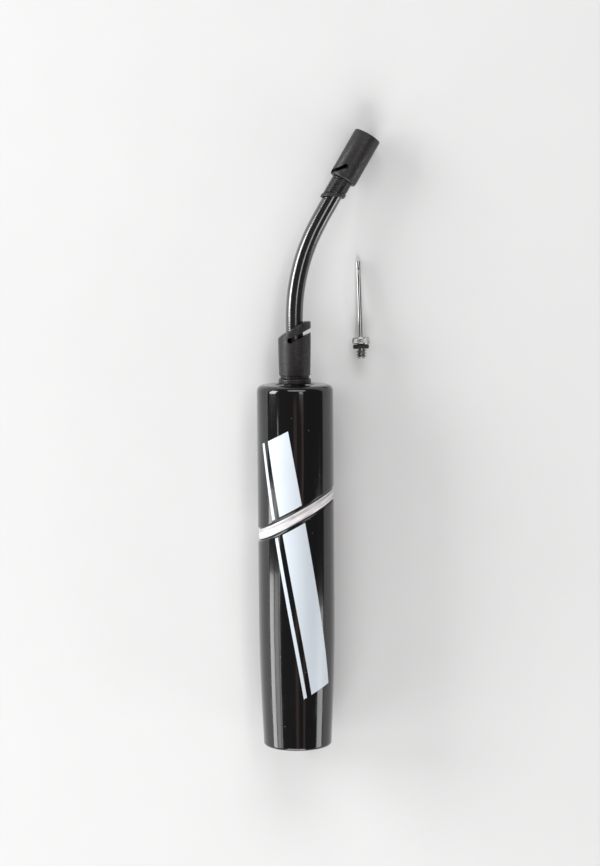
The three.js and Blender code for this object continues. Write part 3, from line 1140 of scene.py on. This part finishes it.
@dataclass
class Handle(ShellHalf):
    """The sliding half: the sleeve, its end cap, the rod and the piston."""

    body: str = "handle"
    taper_from: float = 66.0
    taper: float = 2.0
    taper_power: float = 1.8
    end_edge: float = 3.2
    bore: float = 16.0
    cap_radius: float = 13.0
    cap_top: float = 4.9
    cap_groove: float = 9.0
    boss_radius: float = 7.0
    boss_bore: float = 4.9
    boss_floor: float = 8.0
    boss_top: float = 22.0
    print_start: float = 24.0

    def body_radius(self, height: float) -> float:
        """Returns the sleeve's radius, which shrinks towards its end."""
        share = max(0.0, (self.taper_from - height) / self.taper_from)
        return self.radius - self.taper * share ** self.taper_power

    def sleeve(self) -> None:
        """Builds the polished sleeve with its taper, rounded end and seam rim."""
        end_radius, recess = self.body_radius(self.end_edge) - 0.05, self.cap_radius + 0.28
        bore, hole, low, high = self.bore, self.boss_radius + 0.3, self.cap_top + 0.3, self.boss_floor
        mesh = turned(
            (
                (end_radius, 0, self.end_edge - 0.2),
                *((self.body_radius(y), y) for y in range(6, int(self.taper_from) + 1, 4)),
                (self.radius, self.seam.low, self.rim, 1), (bore, self.seam.low, 0.5, 1), (bore, 70),
                (bore, high, 0.5), (hole, high, 0.3), (hole, low), (recess, low), (recess, 0, 0.15),
            ),
            sides=160, edge=self.seam.rise, steps=10,
        )
        self.fit("handle_sleeve", mesh, SHELL)

    def end_cap(self) -> None:
        """Builds the cap in the sleeve's end, with a shallow groove in its face and a boss for the rod."""
        radius, top, groove, depth = self.cap_radius, self.cap_top, self.cap_groove, 0.35
        boss, bore, boss_top, floor = self.boss_radius, self.boss_bore, self.boss_top, self.boss_floor
        mesh = turned(
            (
                (0, 0), (groove, 0, 0.2), (groove + 0.2, depth, 0.2), (groove + 1.0, depth, 0.2),
                (groove + 1.2, 0, 0.2), (radius, 0, 0.35), (radius, top, 0.3), (boss, top, 0.5),
                (boss, boss_top, 0.4), (bore, boss_top, 0.3), (bore, floor, 0.3), (0, floor),
            ),
            sides=128,
        )
        self.fit("handle_end_cap", mesh, SHELL)

    def build(self) -> None:
        """Builds the whole sliding half."""
        self.sleeve()
        self.end_cap()
        self.print_stripes("handle", self.print_start, self.seam.low - self.margin)
        self.dress(NATURAL, "piston_rod")
        self.dress(STEEL, "rod_pin")
        self.dress(SEAL, "rod_bumper")
        self.dress(INNER, "piston_head")


@dataclass
class Valves(Assembly):
    """The two small pieces that move with the air: the piston's ring and the valve ball."""

    body: str = "intake_ring"

    def build(self) -> None:
        """Builds the floating ring and dresses the ball."""
        self.fit("piston_ring", seal_ring(12.2, 1.45, middle("piston_ring").y), SEAL)
        self.dress(STEEL, "check_ball")


@dataclass
class HoseAssembly(Assembly):
    """The swivelling collar, the hose and the connector at its end.

    Pieces of the connector are built about Y with its mouth at 0, so their heights are below 0. The bend is
    the hose's route as the frame has it, and after it the hose runs straight, at distances from the mouth.
    """

    body: str = "hose_assembly"
    gap: float = 0.3
    collar_step: float = 6.9
    collar_start: float = 179.2
    collar_low: float = 7.5
    collar_high: float = 7.9
    collar_top: float = 206.4
    collar_left_top: float = 198.4
    collar_slope: float = 0.65
    collar_bore: float = 5.7
    collar_floor: float = 192.0
    collar_slot: ReliefSlot = ReliefSlot(-2.1, 197.4, 1.35, 2.1, 14, 25, back_from=5.6)
    hose_radius: float = 4.2
    hose_socket: float = 4.5
    strand_pitch: float = 0.8
    strand_starts: int = 6
    strand_depth: float = 0.045
    connector_radius: float = 6.75
    connector_length: float = 24.7
    connector_slot: ReliefSlot = ReliefSlot(-1.6, -19.2, 1.25, 1.7, 9, 225)
    washer_back: float = 12.05
    thread_radii: tuple[float, float] = (2.8, 3.15)
    thread_pitch: float = 0.9
    boot_radius: float = 5.0
    boot_ribs: int = 8
    ferrule_centre: float = -33.6
    ferrule_thickness: float = 2.0
    ferrule_slope: float = 0.48
    bend_m: tuple[tuple[float, float, float], ...] = (
        (0, 0.1945, 0), (0, 0.198, 0), (0, 0.202, 0), (0, 0.206, 0), (0.00015, 0.212, -0.00014),
        (0.0006, 0.218, -0.00044), (0.00145, 0.224, -0.00088), (0.0027, 0.230, -0.00145),
        (0.00435, 0.236, -0.00215), (0.0065, 0.242, -0.00295), (0.0091, 0.248, -0.00382),
        (0.0122, 0.254, -0.00478), (0.01558, 0.260, -0.00577),
    )
    straight: tuple[float, ...] = (36.5, 33.0, 29.0, 25.0, 21.0, 16.5)

    def connector_axis(self) -> Vector:
        """Returns the direction out of the connector's mouth."""
        mounts = {mount["name"]: mount for mount in frame["record"]["mounts"]}
        return Vector(mounts["needle_socket_face"]["axis"]).normalized()

    def mouth(self) -> Vector:
        """Returns the centre of the connector's mouth."""
        return middle("socket_washer") + self.connector_axis() * self.washer_back

    def route(self) -> list[Vector]:
        """Returns the hose's route: the bend, then straight into the connector."""
        straight = [self.mouth() - self.connector_axis() * back for back in self.straight]
        return [Vector(point) / MM for point in self.bend_m] + straight

    def collar_edge(self, across: float) -> float:
        """Works out the collar's slanted top, which levels off on the right.

        Args:
            across: The place across the collar.

        Returns:
            The top's rise above its left corner.
        """
        slant = self.collar_slope * (across + self.collar_high)
        limit = self.collar_top - self.collar_left_top
        soft = 0.7
        return limit - soft * math.log1p(math.exp((limit - slant) / soft))

    def collar(self) -> Piece:
        """Builds the matte collar with its slanted top and relief slot.

        Returns:
            The collar.
        """
        top, bore, start, step = self.collar_left_top, self.collar_bore, self.collar_start, self.collar_step
        wide, floor, seat, air_hole = start + 1.2, self.collar_floor, self.collar_floor + 2.2, 2.2
        mesh = turned(
            (
                (bore, start, 0.15), (step, start, 0.1), (step, wide, 0.15), (self.collar_low, wide, 0.4),
                (self.collar_low + 0.2, 188), (self.collar_high - 0.1, 194), (self.collar_high, top, 0.7, 1),
                (self.hose_socket + 0.1, top, 0.35, 1), (self.hose_socket, seat), (air_hole, seat),
                (air_hole, floor), (bore, floor),
            ),
            sides=128, edge=self.collar_edge,
        )
        return self.fit("hose_collar", carved(mesh, self.collar_slot.tools(), 0.14), GRIP)

    def under_hose(self) -> Piece:
        """Builds the lock ring under the collar, and the washer and the nipple under the hose.

        Returns:
            The nipple, which is on the hose.
        """
        lock_ring = flat_ring((self.collar_bore, 7.75), ends("collar_base_ring"), (0.15, 0.45, 0.6), 128)
        self.fit("collar_base_ring", lock_ring, GRIP)
        self.fit("outlet_washer", flat_ring((1.6, 4.9), (188.3, 190), (0.2, 0.4, 0.4), 72), SEAL)
        barbs = ((1.6, 195.0), (1.85, 195.4), (1.6, 197.4), (1.85, 197.8), (1.6, 200.4))
        nipple = turned(
            (
                (0.9, 190.3, 0.1), (4.9, 190.3, 0.2), (4.9, 191.7, 0.2), (1.6, 191.7, 0.2),
                *barbs, (1.5, 201, 0.1), (0.9, 201, 0.1),
            ),
            sides=72, steps=3,
        )
        return self.fit("hose_nipple", nipple, BRASS)

    def hose_surface(self, distance: float, angle: float) -> float:
        """Returns the hose's radius: fine strands that cross under the rubber.

        Args:
            distance: How far along the hose.
            angle: The angle round it.

        Returns:
            The radius.
        """
        lay = math.tau * distance / self.strand_pitch
        turn = self.strand_starts * angle
        strand = max(math.cos(lay + turn), math.cos(lay - turn))
        return self.hose_radius - self.strand_depth * (1 - strand) / 2

    def hose(self, pieces_on_it: Sequence[Piece]) -> None:
        """Args:
            pieces_on_it: The connector's pieces and the collar; not used.
        """
        points = self.route()
        hose = self.fit("hose", swept(points, self.hose_surface, 0.2, 72), HOSE)
        frames = path_frames(points, 1.0)
        length = frames[-1][3] * MM
        [tuple(place * MM) for place, _side, _other, _distance in frames]
        LOG.info("hose: %.1f mm long", length / MM)

    def sleeve(self) -> Mesh:
        """Builds the connector's wide sleeve with its relief slot.

        Returns:
            The mesh about the connector's axis.
        """
        radius, back, bore, hole = self.connector_radius, -self.connector_length, 5.8, self.boot_radius - 0.3
        profile = (
            (hole, back, 0.15), (radius, back, 1.3), (radius, 0, 0.45),
            (bore, 0, 0.25), (bore, back + 3.2), (hole, back + 3.2),
        )
        return carved(turned(profile, sides=128), self.connector_slot.tools(), 0.12)

    def needle_socket(self) -> Mesh:
        """Builds the socket that takes the needle, with grooves for its thread and a pipe for the hose.

        Returns:
            The mesh about the connector's axis.
        """
        ridge, groove = self.thread_radii
        first, last = -6.6, -13.0
        thread = []
        for number in range(int((first - last) / self.thread_pitch)):
            height = first - number * self.thread_pitch
            thread += [(ridge, height), (groove, height - self.thread_pitch / 2)]
        profile = (
            (0.9, -22), (1.5, -22, 0.2), (1.85, -21, 0.2), (1.85, -16.2), (5.5, -16.2, 0.2),
            (5.5, -0.3, 0.15), (5.0, -0.3, 0.1), (4.7, -1, 0.2), (4.7, -6.2), (3.2, -6.2, 0.1),
            *thread, (ridge, last), (0.9, last),
        )
        return turned(profile, sides=96, steps=3)

    def ferrule_edge(self, across: float) -> float:
        """Returns the rise of the ferrule's slant at a place across the connector."""
        return self.ferrule_slope * across

    def boot(self) -> Mesh:
        """Builds the ribbed boot, whose lower end is slanted like the ferrule.

        Returns:
            The mesh about the connector's axis.
        """
        high = -self.connector_length - self.gap
        low = self.ferrule_centre + self.ferrule_thickness / 2 + self.gap
        bore, radius, pitch = self.hose_socket, self.boot_radius, (high - low) / self.boot_ribs
        corners = [(bore, low, 0.1, 1), (radius - 0.1, low, 0.2, 1)]
        for number in range(self.boot_ribs):
            share = (number + 0.5) / self.boot_ribs
            height, follow = low + (high - low) * share, 1 - share
            corners += [
                (radius - 0.25, height - pitch * 0.18, 0.12, follow),
                (radius - 0.25, height + pitch * 0.02, 0.12, follow),
                (radius, height + pitch * 0.14, 0.15, follow),
                (radius, height + pitch * 0.50, 0.15, follow),
            ]
        corners += [(radius - 0.1, high, 0.15), (bore, high, 0.1)]
        return turned(corners, sides=96, edge=self.ferrule_edge, steps=3)

    def connector(self) -> list[Piece]:
        """Builds the connector's sleeve, socket, boot, ferrule and washer.

        Returns:
            The pieces.
        """
        half = self.ferrule_thickness / 2
        heights = self.ferrule_centre - half, self.ferrule_centre + half
        radii = self.hose_socket, self.boot_radius + 0.3
        ferrule = flat_ring(radii, heights, (0.2, 0.5, 0.5), 112, self.ferrule_edge)
        washer = flat_ring((1.3, 2.5), (-12.7, -11.4), (0.15, 0.3, 0.3), 64)
        place = placing(self.mouth(), self.connector_axis())
        return [
            self.fit(node, mesh, finish, place)
            for node, mesh, finish in (
                ("connector_sleeve", self.sleeve(), GRIP),
                ("needle_socket", self.needle_socket(), INNER),
                ("connector_boot", self.boot(), BOOT),
                ("hose_ferrule", ferrule, GRIP),
                ("socket_washer", washer, SEAL),
            )
        ]

    def build(self) -> None:
        """Builds the collar, the connector and the hose between them."""
        collar = self.collar()
        nipple = self.under_hose()
        self.hose([collar, nipple, *self.connector()])


@dataclass
class Needle(Assembly):
    """The loose ball needle: a thin tube in a threaded hub with a gasket.

    Its pieces are built about Y with the threaded end at 0.
    """

    body: str = "needle"
    length: float = 47.5
    tube_radius: float = 1.1
    tube_bore: float = 0.55
    hub_radius: float = 4.3
    hub_low: float = 6.95
    hub_high: float = 10.3
    hub_sides: int = 156
    row_step: float = 0.09
    thread_radius: float = 2.75
    thread_depth: float = 0.9
    thread_pitch: float = 1.45
    thread_top: float = 4.6
    knurl_count: int = 26
    knurl_pitch: float = 1.0
    knurl_depth: float = 0.22
    knurl_margins: tuple[float, float] = (0.25, 0.5)
    gasket_middle: float = 5.725

    def thread(self, height: float, turn: float) -> float:
        """Returns the threaded end's radius, with a helix that runs out at both ends.

        Args:
            height: The place along the needle.
            turn: The angle round it.

        Returns:
            The radius.
        """
        fade = max(0.0, min(1.0, (height - 0.1) / 0.6, (self.thread_top - height - 0.1) / 0.9))
        fade *= fade * (3 - 2 * fade)
        phase = (height / self.thread_pitch - turn / math.tau) % 1.0
        ridge = min(1.0, 1.25 * max(0.0, 1 - abs(phase - 0.5) * 3.0))
        return self.thread_radius - self.thread_depth * (1 - fade * ridge)

    def knurl(self, height: float, turn: float) -> float:
        """Returns the hub's radius, with diamond knurling that fades out at both edges.

        Args:
            height: The place along the needle.
            turn: The angle round it.

        Returns:
            The radius.
        """
        below, above = self.knurl_margins
        run_out = 0.3
        fade = min(1.0, (height - self.hub_low - below) / run_out, (self.hub_high - above - height) / run_out)
        around, climb = self.knurl_count * turn, math.tau * height / self.knurl_pitch
        groove = max(math.cos(around + climb), math.cos(around - climb), 0.0)
        return self.hub_radius - self.knurl_depth * fade * groove

    def ring(self, height: float, radius_at: Callable[[float, float], float]) -> list[Vector]:
        """Returns one ring of the hub's mesh."""
        return [on_ring(radius_at(height, turn), height, turn) for turn in turns(self.hub_sides)]

    def band(self, low: float, high: float, radius_at: Callable[[float, float], float]) -> list[list[Vector]]:
        """Returns the rings of a stretch of the hub, from low to short of high."""
        count = math.ceil((high - low) / self.row_step)
        return [self.ring(low + self.row_step * number, radius_at) for number in range(count)]

    def hub(self) -> Mesh:
        """Builds the hub with a true helical thread.

        Returns:
            The mesh about the needle's axis.
        """
        core, outer, hole = self.thread_radius - self.thread_depth, self.hub_radius, self.tube_radius + 0.02
        low, high = self.hub_low, self.hub_high
        knurl_low, knurl_high = low + self.knurl_margins[0], high - self.knurl_margins[1]

        def plain(*corners: tuple[float, float]) -> list[list[Vector]]:
            """Returns plain rings, each from its radius and height."""
            angles = turns(self.hub_sides)
            return [[on_ring(radius, height, turn) for turn in angles] for radius, height in corners]

        return skinned(
            [
                *plain((hole, 0.0), (core - 0.15, 0.0)),
                *self.band(0.12, self.thread_top, self.thread),
                *plain((core, self.thread_top), (core, low), (outer - 0.25, low), (outer - 0.07, low + 0.07)),
                *self.band(knurl_low, knurl_high, self.knurl),
                *plain((outer, knurl_high), (outer - 0.1, high - 0.25), (outer - 0.45, high)),
                *plain((hole + 0.7, high), (hole + 0.45, high + 0.1), (hole, high + 0.35)),
            ],
            looped=True,
        )

    def tube(self) -> Mesh:
        """Builds the hollow tube with its rounded tip and side hole.

        Returns:
            The mesh about the needle's axis.
        """
        tip, radius, bore = self.length, self.tube_radius, self.tube_bore
        inner_end = tip - radius - 0.4
        mesh = turned(
            (
                (0, inner_end), (bore, inner_end, 0.2), (bore, 0.4, 0.1), (radius, 0.4, 0.15), (radius, 30),
                (radius - 0.02, tip, radius * 0.95), (0, tip),
            ),
            sides=64, steps=10,
        )
        hole = [(0.42 * math.cos(turn), tip - 4.1 + 0.6 * math.sin(turn)) for turn in turns(12)]
        return carved(mesh, [prism(hole, 0.2, 3)], 0.05)

    def build(self) -> None:
        """Builds the needle's three pieces."""
        gasket_place = middle("needle_gasket")
        axis = (middle("needle_tube") - gasket_place).normalized()
        place = placing(gasket_place - axis * self.gasket_middle, axis)
        self.fit("needle_hub", self.hub(), NICKEL, place)
        self.fit("needle_gasket", flat_ring((2.75, 3.85), (4.75, 6.7), (0.2, 0.6, 0.6), 80), SEAL, place)
        self.fit("needle_tube", self.tube(), NICKEL, place)


# ---- studio ----


@dataclass(frozen=True)
class Softbox:
    """A rectangular lamp.

    Attributes:
        name: Its name.
        place: Where it is, in metres.
        size: Its side across the pump or across its own aim, and its other side, in metres.
        radiance: How bright its face is.
        colour: The colour of its light.
        upright: Whether the other side runs up the lamp rather than along the pump.
    """

    name: str
    place: tuple[float, float, float]
    size: tuple[float, float]
    radiance: float
    colour: Colour = (1.0, 1.0, 1.0)
    upright: bool = False

    def build(self) -> None:
        """Puts the lamp in the scene: upright ones face the origin, and the others face straight across."""
        lamp = bpy.data.lights.new(self.name, "AREA")
        lamp.shape = "RECTANGLE"
        lamp.size, lamp.size_y = self.size
        lamp.color = self.colour
        lamp.energy = self.radiance * math.pi * self.size[0] * self.size[1]
        thing = bpy.data.objects.new(self.name, lamp)
        x, y, z = self.place
        back = Vector((x, y if self.upright else 0.0, z)).normalized()
        along = Vector((0, 0, 1)) if self.upright else Vector((0, 1, 0))
        along = (along - back * along.dot(back)).normalized()
        turn = Matrix((along.cross(back), along, back)).transposed()
        thing.matrix_world = Matrix.Translation(self.place) @ turn.to_4x4()
        bpy.context.scene.collection.objects.link(thing)


AMBER = (1.0, 0.62, 0.48)
SOFTBOXES = (
    Softbox("head_box", (0.2, 2.3, 1.5), (2.0, 1.0), 4.0, upright=True),
    Softbox("foot_box", (-0.2, -2.0, 1.1), (2.0, 1.7), 5.4, upright=True),
    Softbox("left_low_box", (-1.6, -0.62, 0.26), (0.44, 1.0), 6.8),
    Softbox("left_high_box", (-1.5, -0.62, 0.74), (0.40, 1.0), 3.3),
    Softbox("right_low_box", (1.6, -0.66, 0.36), (0.60, 0.9), 4.4),
    Softbox("hose_box", (-1.22, 0.68, 0.42), (0.50, 1.0), 11.0),
    Softbox("hose_top_box", (0.42, 0.62, 1.25), (0.26, 0.9), 3.6),
    Softbox("left_strip", (-1.05, -0.40, 0.78), (0.07, 1.0), 3.6),
    Softbox("amber_strip", (0.00, -0.35, 1.60), (0.26, 1.0), 0.42, AMBER),
    Softbox("right_strip", (0.52, -0.35, 1.30), (0.13, 1.0), 0.55, AMBER),
)


@dataclass
class Studio:
    """The camera, the pale floor and the lamps.

    Attributes:
        target: The point that the middle of the picture shows, in metres.
        distance: From the camera to that point, in metres.
        tilt: How far the camera leans over the hose end, in degrees.
        roll: Turn of the picture, in degrees.
        picture_height: What the picture's height shows at the target, in metres.
        floor_reach: The round floor's radius, in metres.
        room_light: How bright the room is in what the pump mirrors.
        room_shade: How pale the room looks behind the floor's edge.
    """

    target: tuple[float, float, float] = (0.0023, 0.1525, 0.0)
    distance: float = 1.1525
    tilt: float = 5.69
    roll: float = -0.467
    picture_height: float = 0.41735
    floor_reach: float = 1.2
    room_light: float = 0.10
    room_shade: float = 0.89

    def camera(self) -> None:
        """Makes the camera, which looks down at the pump."""
        data = bpy.data.cameras.new("camera")
        data.sensor_width = 36.0
        data.lens = data.sensor_width * self.distance / self.picture_height
        data.clip_start, data.clip_end = 0.05, 20.0
        thing = bpy.data.objects.new("camera", data)
        tilt, roll = math.radians(self.tilt), math.radians(self.roll)
        thing.location = Vector(self.target) + Vector((0, math.sin(tilt), math.cos(tilt))) * self.distance
        look = Matrix.Rotation(-tilt, 4, "X") @ Matrix.Rotation(roll, 4, "Z")
        thing.rotation_euler = look.to_euler()
        bpy.context.scene.collection.objects.link(thing)
        bpy.context.scene.camera = thing

    def floor(self) -> None:
        """Makes the plain pale surface that the pump lies on."""
        mesh = bpy.data.meshes.new("floor")
        reach, height = self.floor_reach, CAD_BOX[0].z
        rim = [(reach * math.cos(turn), reach * math.sin(turn), height) for turn in turns(96)]
        mesh.from_pydata(rim, [], [tuple(range(len(rim)))])
        material = bpy.data.materials.new("floor_paper")
        graph = ShaderGraph(material)
        paper = graph.blend(graph.noise(40, 4.0), (0.735, 0.735, 0.735), (0.755, 0.755, 0.755))
        graph.surface({"Base Color": paper, "Roughness": 0.85, "Specular IOR Level": 0.2})
        mesh.materials.append(material)
        thing = bpy.data.objects.new("floor", mesh)
        bpy.context.scene.collection.objects.link(thing)

    def room(self) -> None:
        """Makes the room: dim for what the pump mirrors, and pale behind the floor's edge."""
        world = bpy.data.worlds.new("room")
        world.use_nodes = True
        graph = NodeGraph(world.node_tree)
        dim_looks = {"Color": (1.0, 1.0, 1.0), "Strength": self.room_light}
        dim = graph.node("ShaderNodeBackground", inputs=dim_looks).outputs[0]
        pale = graph.node("ShaderNodeBackground", inputs={"Color": (self.room_shade,) * 3}).outputs[0]
        seen = graph.node("ShaderNodeLightPath").outputs["Is Camera Ray"]
        mix = graph.node("ShaderNodeMixShader", inputs={"Fac": seen, 1: dim, 2: pale})
        graph.node("ShaderNodeOutputWorld", inputs={"Surface": mix.outputs[0]})
        bpy.context.scene.world = world
        bpy.context.scene.view_settings.view_transform = "Standard"

    def build(self) -> None:
        """Builds the whole studio."""
        self.camera()
        self.floor()
        for softbox in SOFTBOXES:
            softbox.build()
        self.room()


def main() -> None:
    """Builds the studio and then each sub-assembly."""
    logging.basicConfig(level=logging.INFO, format="%(message)s")
    Studio().build()
    for assembly in (HoseAssembly(), Barrel(), Handle(), Valves(), Needle()):
        assembly.build()
        LOG.info("%s: %d pieces", type(assembly).__name__, len(assembly.made))


if __name__ == "__main__":
    main()
